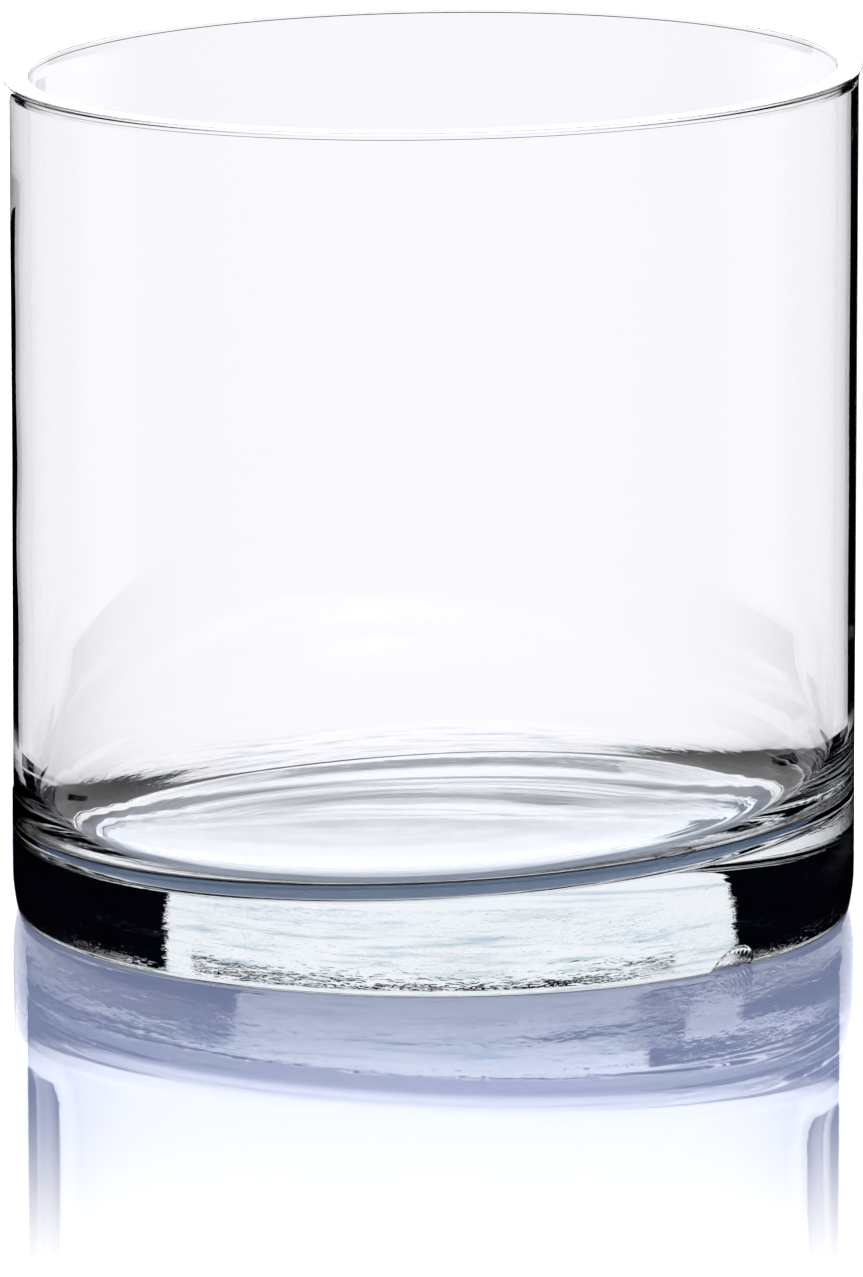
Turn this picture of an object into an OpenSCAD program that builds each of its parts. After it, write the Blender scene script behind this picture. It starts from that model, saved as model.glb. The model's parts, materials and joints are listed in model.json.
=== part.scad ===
// Heavy-base glass cylinder vase.
// One hand-made piece of clear glass, modelled as its three worked zones, which meet face to face:
// the thick base, the blown wall and the cut and polished rim.
// Origin: centre of the underside, where the vase stands. +Z runs up the axis of the cylinder.
// All lengths are millimetres.

/* [Vase] */
// Height from the table to the top of the rim
height = 152; // [120:1:300]
// Outside diameter of the straight wall
wall_d = 150; // [120:1:220]
// Thickness of the straight wall
wall_t = 3.8; // [2.5:0.1:6]

/* [Base] */
// Thickness of glass under the middle of the floor
floor_t = 15; // [8:0.5:25]
// How far the hollow's bottom corner is filled in, across the floor
fillet_w = 11.5; // [4:0.5:20]
// How far the hollow's bottom corner is filled in, up the wall
fillet_h = 17.5; // [4:0.5:24]
// Height over which the outside draws in towards the foot
heel_h = 8; // [4:0.5:8]
// How far the outside draws in over that height
heel_in = 1; // [0.5:0.1:2]
// Radius of the polished edge between heel and foot
foot_edge_r = 0.8; // [0.4:0.1:1.5]
// Width of the flat ring that the vase stands on
foot_ring_w = 7; // [4:0.5:12]
// Depth of the shallow hollow ground into the underside
foot_hollow = 0.5; // [0.2:0.1:1]

/* [Rim] */
// Height of the worked band at the mouth
rim_h = 6; // [5:0.5:12]
// How far the lip stands proud of the wall outside
lip_out = 1; // [0.3:0.1:2]
// Height over which the lip swells out
lip_h = 3; // [2:0.5:4]
// Radius of the polished edges of the rim
rim_edge_r = 0.4; // [0.2:0.1:0.8]

/* [Hidden] */

wall_r = wall_d / 2;
bore_r = wall_r - wall_t;
lip_r = wall_r + lip_out;
base_top = floor_t + fillet_h;
rim_z = height - rim_h;
heel_r = wall_r - heel_in;
foot_r = heel_r - foot_edge_r;
ring_r = foot_r - foot_ring_w;
arc_steps = 12;
edge_steps = 6;
glass = [0.86, 0.92, 0.95, 0.4];

// Points [r, z] along part of an ellipse, from one angle to another
function arc(centre, radii, from, to, steps) = [
    for (i = [0:steps])
        let (a = from + (to - from) * i / steps)
            centre + [radii[0] * cos(a), radii[1] * sin(a)]
];

// The dished underside, from the axis out to the standing ring
function underside() = [
    for (i = [0:edge_steps])
        let (t = i / edge_steps)
            [ring_r * t, foot_hollow * (1 - t * t)]
];

// The heel, from the polished foot edge up to the straight wall
function heel() = concat(
    arc([foot_r, foot_edge_r], [foot_edge_r, foot_edge_r], -90, -15, edge_steps),
    [
        for (i = [2:arc_steps])
            let (t = i / arc_steps)
                [wall_r - heel_in * pow(1 - t, 2), heel_h * t]
    ]
);

// The lip's outside, from the straight wall up to the polished outer edge
function lip() = concat(
    [
        for (i = [0:arc_steps])
            let (t = i / arc_steps)
                [wall_r + lip_out * (1 - cos(180 * t)) / 2, height - rim_edge_r - lip_h * (1 - t)]
    ],
    arc([lip_r - rim_edge_r, height - rim_edge_r], [rim_edge_r, rim_edge_r], 15, 90, edge_steps)
);

// Thick solid disc with the heel outside, and the hollow's rounded bottom corner inside
module heavy_base() {
    color(glass)
        rotate_extrude($fn = 180)
            polygon(concat(
                underside(),
                heel(),
                [[wall_r, base_top]],
                arc([bore_r - fillet_w, base_top], [fillet_w, fillet_h], 0, -90, arc_steps),
                [[0, floor_t]]
            ));
}

// Straight blown wall, from the top of the base to the worked band
module cylinder_wall() {
    color(glass)
        translate([0, 0, base_top])
            difference() {
                cylinder(r = wall_r, h = rim_z - base_top, $fn = 180);
                translate([0, 0, -1])
                    cylinder(r = bore_r, h = rim_z - base_top + 2, $fn = 180);
            }
}

// Cut, ground and polished mouth with its slightly proud lip
module rim_band() {
    color(glass)
        rotate_extrude($fn = 180)
            polygon(concat(
                [[bore_r, rim_z], [wall_r, rim_z]],
                lip(),
                arc([bore_r + rim_edge_r, height - rim_edge_r], [rim_edge_r, rim_edge_r], 90, 180, edge_steps)
            ));
}

heavy_base();
cylinder_wall();
rim_band();
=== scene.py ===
"""Glass cylinder vase on a pale glossy floor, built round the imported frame.

The real vase is one piece of glass, so one closed glass mesh stands for the frame's three zones. Everything
is in metres, +Z up, with the origin under the middle of the base.
"""
import json
import math
import random

import bpy
from mathutils import Matrix, Vector


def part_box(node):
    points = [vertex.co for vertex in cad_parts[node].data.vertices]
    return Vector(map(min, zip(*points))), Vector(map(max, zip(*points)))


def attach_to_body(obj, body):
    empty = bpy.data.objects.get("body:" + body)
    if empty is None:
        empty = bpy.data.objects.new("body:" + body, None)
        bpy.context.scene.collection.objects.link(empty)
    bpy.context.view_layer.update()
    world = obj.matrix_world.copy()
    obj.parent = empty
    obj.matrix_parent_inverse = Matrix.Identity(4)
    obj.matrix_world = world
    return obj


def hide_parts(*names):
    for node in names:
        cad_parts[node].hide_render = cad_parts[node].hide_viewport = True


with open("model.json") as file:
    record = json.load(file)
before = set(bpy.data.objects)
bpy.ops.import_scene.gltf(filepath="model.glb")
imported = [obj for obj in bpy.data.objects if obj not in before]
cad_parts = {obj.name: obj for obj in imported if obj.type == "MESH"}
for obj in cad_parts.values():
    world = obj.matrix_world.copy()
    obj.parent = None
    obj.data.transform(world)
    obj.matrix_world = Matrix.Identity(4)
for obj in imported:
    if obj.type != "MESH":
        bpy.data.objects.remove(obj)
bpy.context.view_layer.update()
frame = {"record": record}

MM = 0.001

# ---------------------------------------------------------------- sizes, from the frame

_, base_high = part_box("heavy_base")
_, rim_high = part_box("rim_band")
HEIGHT = rim_high.z
LIP_R = rim_high.x - 0.3 * MM
WALL_R = base_high.x
BASE_TOP = base_high.z
BORE_R = next(m["dims"]["r_mm"] for m in frame["record"]["mounts"] if m["name"] == "inside") * MM

# ---------------------------------------------------------------- sizes of the glass's own detail

FLOOR_T = 15 * MM
FILLET_W = 11.5 * MM
HEEL_H = 8 * MM
HEEL_IN = 1 * MM
FOOT_EDGE = 0.8 * MM
FOOT_RING = 7 * MM
FOOT_HOLLOW = 0.5 * MM
LIP_H = 3 * MM
RIM_EDGE = 0.4 * MM
RIM_TILT = math.tan(math.radians(0.8))
FLOOR_TILT = math.tan(math.radians(2.9))
TILT_FADE_H = 40 * MM
CALM_R = 46 * MM

CHIP_TURN = math.radians(-45.4)
CHIP_WINDOW = math.radians(5.2)
CHIP_HALF = 5.2 * MM
CHIP_UP = 4.6 * MM
CHIP_DOWN = 6.2 * MM
CHIP_DEEP = 1.1 * MM
CHIP_LEAN = 0.25
CHIP_START_ACROSS = -2.6 * MM
CHIP_START_ALONG = 3.6 * MM
CHIP_RIPPLE = 0.05 * MM
CHIP_RIPPLE_LENGTH = 0.95 * MM
CHIP_INWARD, CHIP_UPWARD = 0.75, 0.66

SIDE_WAVE = 0.014 * MM
WALL_WAVE = 0.02 * MM
BORE_WAVE = 0.02 * MM
FILLET_RINGS = 0.003 * MM
FLOOR_RINGS = 0.006 * MM
FLOOR_WAVE = 0.015 * MM

# ---------------------------------------------------------------- colours and light

CLEAR = (1, 1, 1, 1)
ABSORBED = (0.46, 0.69, 0.79, 1)
CORD = (0.36, 0.50, 0.58, 1)
NAVY = (0.0008, 0.001, 0.003, 1)
BLACK = (0, 0, 0, 1)
# Painted shade: the floor is darker and blue-grey round the vase, fading to white further off.
PAINTED_FLOOR_SHADE = (0.19, 0.225, 0.37, 1)
# Painted shade on the floor under the vase as seen through the glass, and a paler copy of it for
# reflections.
PAINTED_SHADE_UNDER_VASE = (0.26, 0.38, 0.58, 1)
PAINTED_SHADE_UNDER_VASE_MIRRORED = (0.70, 0.74, 0.82, 1)
# Painted contact shadow under the standing ring.
PAINTED_CONTACT_SHADOW = (0.01, 0.01, 0.02, 1)
BARE_MIRROR = (0.965, 0.965, 0.985, 1)
COOL_WHITE = (0.985, 0.98, 1, 1)
LIGHT_ON_FLOOR = 1.15
LIGHT_IN_GLOSS = 3.4
LIGHT_THROUGH_GLASS = 1.18
LIGHT_LOST_IN_MOUTH = -0.11
SILVER_LIGHT = 2.2
ANY = 99

# ---------------------------------------------------------------- the glass


def smooth(t):
    t = min(max(t, 0.0), 1.0)
    return t * t * (3 - 2 * t)


def ellipse(centre, radii, start, end, steps):
    """Points along part of an ellipse, from one angle in degrees to another."""
    points = []
    for i in range(steps + 1):
        a = math.radians(start + (end - start) * i / steps)
        points.append((centre[0] + radii[0] * math.cos(a), centre[1] + radii[1] * math.sin(a)))
    return points


def profile():
    """The glass's outline as (zone, r, z): from the axis underneath, up to the rim and down to the floor."""
    foot_r = WALL_R - HEEL_IN - FOOT_EDGE
    ring_r = foot_r - FOOT_RING
    rows = []

    def add(zone, points):
        for r, z in points:
            if not rows or math.hypot(r - rows[-1][1], z - rows[-1][2]) > 1e-6:
                rows.append((zone, r, z))

    add("under", [(ring_r * i / 30, FOOT_HOLLOW * (1 - (i / 30) ** 2)) for i in range(1, 31)])
    add("ring", [(ring_r + FOOT_RING * i / 22, 0.0) for i in range(1, 23)])
    add("heel", ellipse((foot_r, FOOT_EDGE), (FOOT_EDGE, FOOT_EDGE), -90, -14, 8))
    add("heel", [(WALL_R - HEEL_IN * (1 - i / 26) ** 2, HEEL_H * i / 26) for i in range(3, 27)])
    add("side", [(WALL_R, HEEL_H + (BASE_TOP - HEEL_H) * i / 50) for i in range(1, 51)])
    start, end = BASE_TOP, HEIGHT - RIM_EDGE - LIP_H
    add("wall", [(WALL_R, start + (end - start) * i / 30) for i in range(1, 31)])
    lip_out = LIP_R - WALL_R
    add("lip", [(WALL_R + lip_out * (i / 16) ** 3, end + LIP_H * i / 16) for i in range(1, 17)])
    add("rim", ellipse((LIP_R - RIM_EDGE, HEIGHT - RIM_EDGE), (RIM_EDGE, RIM_EDGE), 12, 90, 7))
    inner = BORE_R + RIM_EDGE
    width = LIP_R - RIM_EDGE - inner
    add("rim", [(inner + width * (1 - i / 8), HEIGHT) for i in range(1, 9)])
    add("rim", ellipse((inner, HEIGHT - RIM_EDGE), (RIM_EDGE, RIM_EDGE), 90, 180, 7))
    start, end = HEIGHT - RIM_EDGE, BASE_TOP
    add("bore", [(BORE_R, start + (end - start) * i / 34) for i in range(1, 35)])
    fillet_h = BASE_TOP - FLOOR_T
    for i in range(1, 85):
        a = math.radians(90 * i / 84)
        drop = fillet_h * math.sin(a)
        out = math.sqrt(max(0.0, 1 - (drop / fillet_h) ** 3))
        add("fillet", [(BORE_R - FILLET_W * (1 - out), BASE_TOP - drop)])
    flat = BORE_R - FILLET_W
    add("floor", [(flat + (CALM_R - flat) * i / 40, FLOOR_T) for i in range(1, 41)])
    add("floor", [(CALM_R * (1 - i / 24), FLOOR_T) for i in range(1, 24)])
    return rows


def waves(seed, count, turns, lengths):
    """A smooth ripple of height about one, round the vase and along its outline: a sum of seeded sines."""
    rng = random.Random(seed)
    terms = []
    for i in range(count):
        turn = rng.randint(*turns)
        pace = 2 * math.pi / rng.uniform(*lengths)
        terms.append((turn, pace, rng.uniform(0, 2 * math.pi)))

    def height(a, s):
        return sum(math.sin(k * a + m * s + p) for k, m, p in terms) / math.sqrt(count)

    return height


def columns():
    """Angles round the vase: even, but closer together across the chip in the foot."""
    turns, fine = 384, 64
    even = [-math.pi + 2 * math.pi * i / turns for i in range(turns)]
    away = [a for a in even if abs(a - CHIP_TURN) > CHIP_WINDOW + math.pi / turns]
    return sorted(away + [CHIP_TURN + CHIP_WINDOW * (2 * i / fine - 1) for i in range(fine + 1)])


def chip_depth(a, along):
    """How deep a shell-shaped flake has gone at the foot. Along is measured up from the foot's corner."""
    across = (a - CHIP_TURN) * WALL_R
    skew = across - CHIP_LEAN * along
    reach = CHIP_UP if along > 0 else CHIP_DOWN
    inside = 1 - (skew / CHIP_HALF) ** 2 - (along / reach) ** 2
    if inside <= 0:
        return 0.0
    start = math.hypot(across - CHIP_START_ACROSS, along - CHIP_START_ALONG)
    ripple = CHIP_RIPPLE * math.sin(2 * math.pi * start / CHIP_RIPPLE_LENGTH)
    return CHIP_DEEP * math.sqrt(inside) * (0.75 - 0.25 * skew / CHIP_HALF) + ripple * min(1, 3 * inside)


def ripples():
    """How far the skin stands off its true line, as a function of zone, angle, radius, height and length."""
    rings = waves(3, 5, (0, 1), (1.1 * MM, 2.6 * MM))
    wall = waves(5, 6, (1, 5), (25 * MM, 90 * MM))
    side = waves(7, 8, (6, 34), (3.5 * MM, 11 * MM))
    floor_wave = waves(11, 6, (1, 4), (14 * MM, 40 * MM))

    def push(zone, a, r, z, length):
        off = 0.0
        if zone in ("side", "heel") and z > 2 * MM:
            worn = smooth((z - 2 * MM) / (3 * MM)) * smooth((17 * MM - z) / (5 * MM))
            off -= SIDE_WAVE * (1 + side(a, z)) * worn
        if zone in ("side", "wall", "lip"):
            worn = smooth((z - HEEL_H) / (20 * MM)) * smooth((HEIGHT - z) / (6 * MM))
            off -= WALL_WAVE * (1 + wall(a, z)) / 2 * worn
        if zone == "bore":
            worn = smooth((z - BASE_TOP) / (20 * MM)) * smooth((HEIGHT - z) / (20 * MM))
            off -= BORE_WAVE * wall(a + 1, z) * worn
        if zone == "fillet":
            off += FILLET_RINGS * rings(a, length)
        if zone == "floor":
            off += FLOOR_RINGS * rings(a, length) * smooth((r - 47 * MM) / (9 * MM))
            off += FLOOR_WAVE * floor_wave(a, r) * smooth(r / (20 * MM))
        return off

    return push


def tilt(zone, x, z):
    """How far a point rises, as the mouth is cut out of true and the floor of the hollow is off level."""
    rise = 0.0
    if zone in ("lip", "rim", "wall", "bore"):
        rise += smooth((z - BASE_TOP) / (HEIGHT - BASE_TOP)) * RIM_TILT * (x - LIP_R)
    if zone in ("floor", "fillet", "bore"):
        down = 1 - smooth((z - BASE_TOP) / TILT_FADE_H) if zone == "bore" else 1.0
        rise += down * FLOOR_TILT * x
    return rise


def glass_points(rows, angles):
    """Every point of the skin, ring by ring along the outline."""
    push = ripples()
    corner = max(j for j, row in enumerate(rows) if row[0] == "ring")
    lengths = [0.0]
    for j in range(1, len(rows)):
        lengths.append(lengths[-1] + math.hypot(rows[j][1] - rows[j - 1][1], rows[j][2] - rows[j - 1][2]))
    points = []
    for j, (zone, r, z) in enumerate(rows):
        before, after = rows[max(j - 1, 0)], rows[min(j + 1, len(rows) - 1)]
        run = math.hypot(after[1] - before[1], after[2] - before[2])
        out_r, out_z = (after[2] - before[2]) / run, -(after[1] - before[1]) / run
        along = lengths[j] - lengths[corner]
        for a in angles:
            off = push(zone, a, r, z, lengths[j])
            deep = chip_depth(a, along) if zone in ("ring", "heel") else 0.0
            rr = r + off * out_r - CHIP_INWARD * deep
            zz = z + off * out_z + CHIP_UPWARD * deep
            x, y = rr * math.cos(a), rr * math.sin(a)
            points.append((x, y, zz + tilt(zone, x, z)))
    return points


def build_glass():
    """One closed mesh: the outline turned round the axis, with a point on the axis at both its ends."""
    rows = profile()
    angles = columns()
    turns = len(angles)
    verts = glass_points(rows, angles)
    faces = []
    for j in range(len(rows) - 1):
        for i in range(turns):
            a = j * turns + i
            b = j * turns + (i + 1) % turns
            faces.append((a, b, b + turns, a + turns))
    bottom, top = len(verts), len(verts) + 1
    verts.append((0, 0, FOOT_HOLLOW))
    verts.append((0, 0, FLOOR_T))
    last = (len(rows) - 1) * turns
    for i in range(turns):
        k = (i + 1) % turns
        faces.append((bottom, k, i))
        faces.append((top, last + i, last + k))
    mesh = bpy.data.meshes.new("vase_glass")
    mesh.from_pydata(verts, [], faces)
    mesh.validate()
    mesh.shade_smooth()
    piece = bpy.data.objects.new("vase_glass", mesh)
    bpy.context.scene.collection.objects.link(piece)
    return piece


# ---------------------------------------------------------------- shader nodes


def attach(nt, value, socket):
    """Link a node's output to a socket, or set the socket to a plain number or colour."""
    if isinstance(value, bpy.types.NodeSocket):
        nt.links.new(value, socket)
    else:
        socket.default_value = value


def node(nt, kind, **values):
    """A new node, with its sockets linked or set by name. An underscore in a name stands for a space."""
    made = nt.nodes.new(kind)
    for name, value in values.items():
        attach(nt, value, made.inputs[name.replace("_", " ")])
    return made


def maths(nt, operation, *values):
    made = nt.nodes.new("ShaderNodeMath")
    made.operation = operation
    for socket, value in zip(made.inputs, values):
        attach(nt, value, socket)
    return made.outputs[0]


def product(nt, *values):
    result = values[0]
    for value in values[1:]:
        result = maths(nt, "MULTIPLY", result, value)
    return result


def ramp(nt, value, start, end, low=0.0, high=1.0, soft=True):
    """A value carried from one range into another and held at both ends."""
    made = node(nt, "ShaderNodeMapRange", Value=value, From_Min=start, From_Max=end, To_Min=low, To_Max=high)
    made.interpolation_type = "SMOOTHSTEP" if soft else "LINEAR"
    return made.outputs["Result"]


def blend(nt, share, first, second, kind="FLOAT"):
    made = nt.nodes.new("ShaderNodeMix")
    made.data_type = kind
    for name, value in (("Factor", share), ("A", first), ("B", second)):
        attach(nt, value, made.inputs[name])
    return made.outputs["Result"]


def blend_shaders(nt, share, first, second):
    made = nt.nodes.new("ShaderNodeMixShader")
    for socket, value in zip(made.inputs, (share, first, second)):
        attach(nt, value, socket)
    return made.outputs[0]


def add_shaders(nt, first, second):
    made = nt.nodes.new("ShaderNodeAddShader")
    nt.links.new(first, made.inputs[0])
    nt.links.new(second, made.inputs[1])
    return made.outputs[0]


def mirror(nt, colour, roughness):
    return node(nt, "ShaderNodeBsdfGlossy", Color=colour, Roughness=roughness).outputs[0]


def matt(nt, colour):
    return node(nt, "ShaderNodeBsdfDiffuse", Color=colour).outputs[0]


def glow(nt, colour, strength=1.0):
    return node(nt, "ShaderNodeEmission", Color=colour, Strength=strength).outputs[0]


def off_axis(nt, place):
    """Distance from the vase's axis."""
    flat = nt.nodes.new("ShaderNodeVectorMath")
    flat.operation = "MULTIPLY"
    flat.inputs[1].default_value = (1, 1, 0)
    nt.links.new(place, flat.inputs[0])
    radius = nt.nodes.new("ShaderNodeVectorMath")
    radius.operation = "LENGTH"
    nt.links.new(flat.outputs[0], radius.inputs[0])
    return radius.outputs["Value"]


def level_noise(nt, place, scale, detail, roughness):
    """Noise that is stretched along the level of the glass."""
    stretch = node(nt, "ShaderNodeMapping", Vector=place, Scale=scale)
    stretched = stretch.outputs[0]
    made = node(nt, "ShaderNodeTexNoise", Vector=stretched, Scale=1, Detail=detail, Roughness=roughness)
    return made.outputs["Fac"]


def object_place(nt):
    return nt.nodes.new("ShaderNodeTexCoord").outputs["Object"]


def height_of(nt, place, axis="Z"):
    return node(nt, "ShaderNodeSeparateXYZ", Vector=place).outputs[axis]


def bare_material(name):
    """A material with nothing but its output."""
    m = bpy.data.materials.new(name)
    m.use_nodes = True
    m.node_tree.nodes.clear()
    out = m.node_tree.nodes.new("ShaderNodeOutputMaterial")
    return m, m.node_tree, out.inputs["Surface"]


# ---------------------------------------------------------------- materials


def glass_material():
    """Clear glass, faintly blue where it is thick, with fine level cords in the outer skin of the base."""
    m = bpy.data.materials.new("clear_glass")
    m.use_nodes = True
    nt = m.node_tree
    bsdf = nt.nodes["Principled BSDF"]
    bsdf.inputs["Transmission Weight"].default_value = 1
    bsdf.inputs["Roughness"].default_value = 0
    bsdf.inputs["IOR"].default_value = 1.5
    tint = node(nt, "ShaderNodeVolumeAbsorption", Color=ABSORBED, Density=1.5)
    nt.links.new(tint.outputs[0], nt.nodes["Material Output"].inputs["Volume"])
    place = object_place(nt)
    low = ramp(nt, height_of(nt, place), 17 * MM, 12 * MM)
    outside = maths(nt, "GREATER_THAN", off_axis(nt, place), (WALL_R + BORE_R) / 2)
    skin = product(nt, low, outside)
    ragged = level_noise(nt, place, (320, 320, 1000), 2, 0.5)
    bump = node(nt, "ShaderNodeBump", Strength=1, Distance=0.055 * MM, Height=product(nt, ragged, skin))
    nt.links.new(bump.outputs[0], bsdf.inputs["Normal"])
    cords = ramp(nt, level_noise(nt, place, (70, 70, 900), 4, 0.6), 0.50, 0.68, soft=False)
    colour = blend(nt, product(nt, cords, skin), CLEAR, CORD, "RGBA")
    nt.links.new(colour, bsdf.inputs["Base Color"])
    return m


def seen_after_glass(name, passes, turns, fade=None, least_passes=1, most_turns=ANY):
    """Near-black cloth for some clear light only, and nothing at all to the rest.

    That light has gone through a face of the glass from least_passes times to fewer than passes, and has
    been thrown back from turns to most_turns times. A fade brings the cloth in over that range of y.
    """
    m, nt, surface = bare_material(name)
    path = nt.nodes.new("ShaderNodeLightPath")
    glass, thrown = path.outputs["Transmission Depth"], path.outputs["Glossy Depth"]
    seen = product(
        nt,
        maths(nt, "GREATER_THAN", glass, least_passes - 0.5),
        maths(nt, "LESS_THAN", glass, passes),
        maths(nt, "GREATER_THAN", thrown, turns - 0.5),
        maths(nt, "LESS_THAN", thrown, most_turns + 0.5),
        path.outputs["Is Singular Ray"],
    )
    if fade:
        depth = height_of(nt, object_place(nt), "Y")
        seen = product(nt, seen, ramp(nt, depth, fade[0], fade[1]))
    clear = nt.nodes.new("ShaderNodeBsdfTransparent").outputs[0]
    nt.links.new(blend_shaders(nt, seen, clear, glow(nt, NAVY)), surface)
    return m


def only_skin_sees(name):
    """White, but only to light thrown back by the outside of the glass. All else passes through it."""
    m, nt, surface = bare_material(name)
    path = nt.nodes.new("ShaderNodeLightPath")
    outside = maths(nt, "LESS_THAN", path.outputs["Transmission Depth"], 0.5)
    seen = product(nt, outside, path.outputs["Is Glossy Ray"], path.outputs["Is Singular Ray"])
    clear = nt.nodes.new("ShaderNodeBsdfTransparent").outputs[0]
    nt.links.new(blend_shaders(nt, seen, clear, glow(nt, CLEAR, SILVER_LIGHT)), surface)
    return m


def open_floor(nt, radius):
    """A mirror over a painted blue-grey shade near the vase, and plain white further off."""
    reflected = mirror(nt, ramp(nt, radius, 90 * MM, 155 * MM, 0.26, 0.74), 0.02)
    near = add_shaders(nt, reflected, matt(nt, PAINTED_FLOOR_SHADE))
    return blend_shaders(nt, ramp(nt, radius, 150 * MM, 300 * MM), near, matt(nt, CLEAR))


def floor_under_vase(nt, radius, thrown):
    """Painted steel-blue shade, with a sheen at a low angle, and a painted contact shadow under the standing
    ring.

    Light that the glass has thrown back meets less sheen, and light that has also met the floor meets a
    paler copy of the painted shade.
    """
    facing = node(nt, "ShaderNodeLayerWeight", Blend=0.5).outputs["Facing"]
    slant = maths(nt, "MULTIPLY_ADD", maths(nt, "GREATER_THAN", thrown, 0.5), -0.25, facing)
    sheen = mirror(nt, ramp(nt, slant, 0.42, 0.60, 0.02, 1.25, soft=False), 0.02)
    # Painted shade: the floor seen through the glass is steel-blue, paler where it is seen again in a
    # reflection.
    blue = blend(nt, maths(nt, "GREATER_THAN", thrown, 1.5), PAINTED_SHADE_UNDER_VASE, PAINTED_SHADE_UNDER_VASE_MIRRORED, "RGBA")
    # Painted contact shadow: near-black from 70 to 72.5 mm off the axis, under the standing ring.
    blue = blend(nt, ramp(nt, radius, 70 * MM, 72.5 * MM), blue, PAINTED_CONTACT_SHADOW, "RGBA")
    return add_shaders(nt, sheen, matt(nt, blue))


def floor_material():
    """The open floor, and another for clear light that comes off the glass.

    Through the glass it has a painted steel-blue shade under the vase and is a bare mirror beyond.
    Thrown back by the face of the glass it is black, a painted dark reflection.
    """
    m, nt, surface = bare_material("pale_gloss_floor")
    path = nt.nodes.new("ShaderNodeLightPath")
    radius = off_axis(nt, object_place(nt))
    under = floor_under_vase(nt, radius, path.outputs["Glossy Depth"])
    beyond = maths(nt, "GREATER_THAN", radius, WALL_R)
    through = blend_shaders(nt, beyond, under, mirror(nt, BARE_MIRROR, 0.0))
    # Painted dark reflection: the floor shows black to light that the glass has thrown back.
    clear_light = blend_shaders(nt, path.outputs["Is Transmission Ray"], glow(nt, BLACK), through)
    shown = blend_shaders(nt, path.outputs["Is Singular Ray"], open_floor(nt, radius), clear_light)
    nt.links.new(shown, surface)
    return m


def white_world():
    """White all round, at one strength on the floor's face, one in its gloss and one through the glass."""
    world = bpy.data.worlds.new("white_studio")
    world.use_nodes = True
    nt = world.node_tree
    path = nt.nodes.new("ShaderNodeLightPath")
    glass, in_gloss = path.outputs["Transmission Depth"], path.outputs["Is Glossy Ray"]
    through = maths(nt, "MINIMUM", glass, 1)
    one_wall = product(nt, maths(nt, "LESS_THAN", glass, 2.5), in_gloss)
    before = blend(nt, in_gloss, LIGHT_ON_FLOOR, LIGHT_IN_GLOSS)
    after = maths(nt, "MULTIPLY_ADD", one_wall, LIGHT_LOST_IN_MOUTH, LIGHT_THROUGH_GLASS)
    background = nt.nodes["Background"]
    nt.links.new(blend(nt, through, before, after), background.inputs["Strength"])
    nt.links.new(blend(nt, through, CLEAR, COOL_WHITE, "RGBA"), background.inputs["Color"])
    world.cycles.sampling_method = "NONE"
    bpy.context.scene.world = world


# ---------------------------------------------------------------- stage


def stage_mesh(name, verts, faces, material, rig=None):
    mesh = bpy.data.meshes.new(name)
    mesh.from_pydata(verts, [], faces)
    mesh.materials.append(material)
    o = bpy.data.objects.new(name, mesh)
    bpy.context.scene.collection.objects.link(o)
    o.parent = rig
    return o


def floor():
    half, z = 12, -0.05 * MM
    corners = [(-half, -half, z), (half, -half, z), (half, half, z), (-half, half, z)]
    stage_mesh("floor", corners, [(0, 1, 2, 3)], floor_material())


def arc_wall(name, material, rig, radius, low, top, start, end):
    """A curved wall that only reflections and refractions see.

    Its angles are in degrees from straight behind the vase, clockwise from above.
    """
    steps = max(4, round(abs(end - start) / 5))
    verts, faces = [], []
    for i in range(steps + 1):
        a = math.radians(start + (end - start) * i / steps)
        x, y = radius * math.sin(a), radius * math.cos(a)
        verts += [(x, y, low), (x, y, top)]
    for i in range(steps):
        faces.append((2 * i, 2 * i + 2, 2 * i + 3, 2 * i + 1))
    o = stage_mesh(name, verts, faces, material, rig)
    o.visible_camera = False
    o.visible_diffuse = False
    o.visible_shadow = False


def camera():
    elevation, pitch, roll = math.radians(10.58), math.radians(11.32), math.radians(-0.05)
    distance, aside = 2.1, -0.3 * MM
    forward = Vector((0, math.cos(pitch), -math.sin(pitch)))
    right = Vector((1, 0, 0))
    level_up = right.cross(forward)
    right = math.cos(roll) * right + math.sin(roll) * level_up
    up = right.cross(forward)
    data = bpy.data.cameras.new("camera")
    data.sensor_fit = "AUTO"
    data.sensor_width = 36
    data.lens = 333.9
    data.clip_start, data.clip_end = 0.05, 60
    cam = bpy.data.objects.new("camera", data)
    turn = Matrix((right, up, -forward)).transposed().to_4x4()
    place = Vector((aside, -distance * math.cos(elevation), HEIGHT / 2 + distance * math.sin(elevation)))
    cam.matrix_world = Matrix.Translation(place) @ turn
    bpy.context.scene.collection.objects.link(cam)
    bpy.context.scene.camera = cam
    return cam


def turning_rig(cam):
    """What the cloths hang from. It turns round the vase with the camera, so every view is lit alike."""
    rig = bpy.data.objects.new("studio_rig", None)
    bpy.context.scene.collection.objects.link(rig)
    follow = rig.constraints.new("COPY_ROTATION")
    follow.target = cam
    follow.use_x = False
    follow.use_y = False
    return rig


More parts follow.
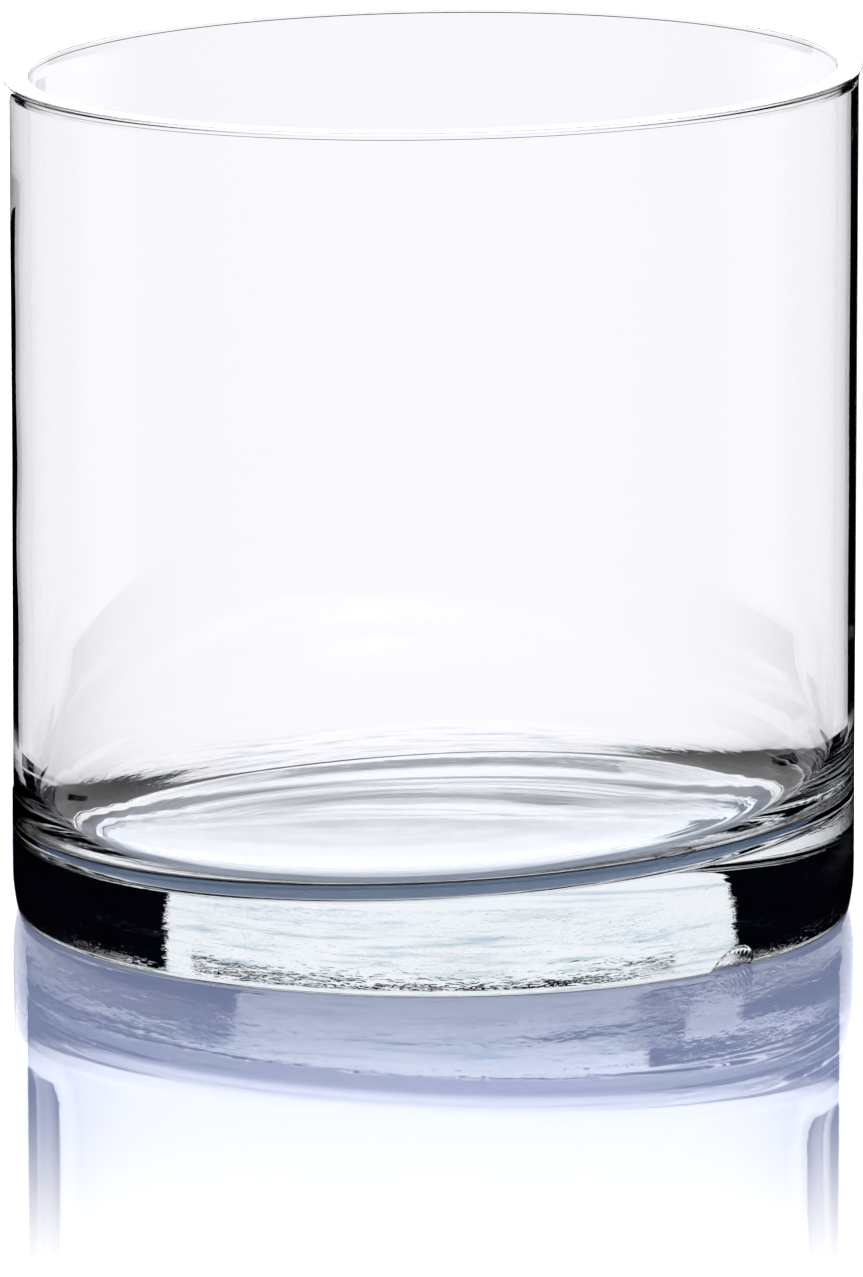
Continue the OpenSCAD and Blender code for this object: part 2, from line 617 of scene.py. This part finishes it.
def cloths(rig):
    """The dark surround with its bright gap behind the vase, in strips that different light meets."""
    surround = seen_after_glass("dark_cloth", ANY, 1, least_passes=0)
    base = seen_after_glass("base_cloth", 2.5, 0)
    low = seen_after_glass("low_cloth", 2.5, 0, most_turns=1)
    front = seen_after_glass("front_cloth", 2.5, 0, (0.52, 0.05))
    back = seen_after_glass("back_cloth", 6.5, 0, (0.4, -0.1))
    edge = seen_after_glass("upper_edge_cloth", 2.5, 2)
    wall = seen_after_glass("upper_wall_cloth", ANY, 0, least_passes=3)
    for name, cloth, distance, foot, top, start, end in (
        ("dark_surround", surround, 0.6, 0.092, 0.30, 38, 322),
        ("base_surround_right", base, 0.6, 0.092, 0.30, 23.6, 38),
        ("base_surround_left", base, 0.6, 0.092, 0.30, 322, 331.5),
        ("low_surround", low, 0.6, 0.070, 0.092, 23.6, 331.5),
        ("dark_front", front, 0.62, 0.0, 1.2, 30, 330),
        ("dark_back", back, 0.64, 0.0, 1.2, 50, 310),
        ("upper_edge_right", edge, 0.605, 0.150, 0.30, 17.5, 24),
        ("upper_edge_left", edge, 0.605, 0.150, 0.30, 331, 342.5),
        ("upper_wall_right", wall, 0.61, 0.150, 0.30, 17.5, 24),
        ("upper_wall_left", wall, 0.61, 0.150, 0.30, 331, 342.5),
    ):
        arc_wall(name, cloth, rig, distance, foot, top, start, end)


def flags(rig):
    """Thin black cards far behind, which draw the dark lines of the two sides and of the rim."""
    edge = seen_after_glass("edge_flag", 2.5, 2)
    deep = seen_after_glass("deep_flag", 2.5, 3)
    line = seen_after_glass("line_flag", 2.5, 0)
    top = 0.178
    for name, cloth, distance, foot, start, end in (
        ("edge_flag_right", edge, 1.0, 0.0, 8, 22.8),
        ("edge_flag_middle", deep, 1.0, 0.0, -8, 8),
        ("edge_flag_left", edge, 1.0, 0.0385, -22.1, -8),
        ("rim_line_flag", line, 1.02, 0.155, -22, 22),
    ):
        arc_wall(name, cloth, rig, distance, foot, top, start, end)


def silver_card(rig):
    """A white card close to the left side, behind it, for the pale line outside the dark one."""
    y, near, far, top = 0.1, -75.5 * MM, -103 * MM, 0.16
    corners = [(near, y, 0), (-94 * MM, y, 0), (far, y, 60 * MM), (far, y, top), (near, y, top)]
    stage_mesh("silver_card", corners, [tuple(range(5))], only_skin_sees("silver_card"), rig)


def studio(cam):
    white_world()
    rig = turning_rig(cam)
    cloths(rig)
    flags(rig)
    silver_card(rig)


# ---------------------------------------------------------------- the scene

glass = build_glass()
glass.data.materials.append(glass_material())
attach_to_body(glass, "root")
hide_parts("heavy_base", "cylinder_wall", "rim_band")
floor()
studio(camera())

scene = bpy.context.scene
scene.view_settings.view_transform = "Standard"
scene.cycles.max_bounces = 10
scene.cycles.transmission_bounces = 24
scene.cycles.glossy_bounces = 12
scene.cycles.transparent_max_bounces = 16
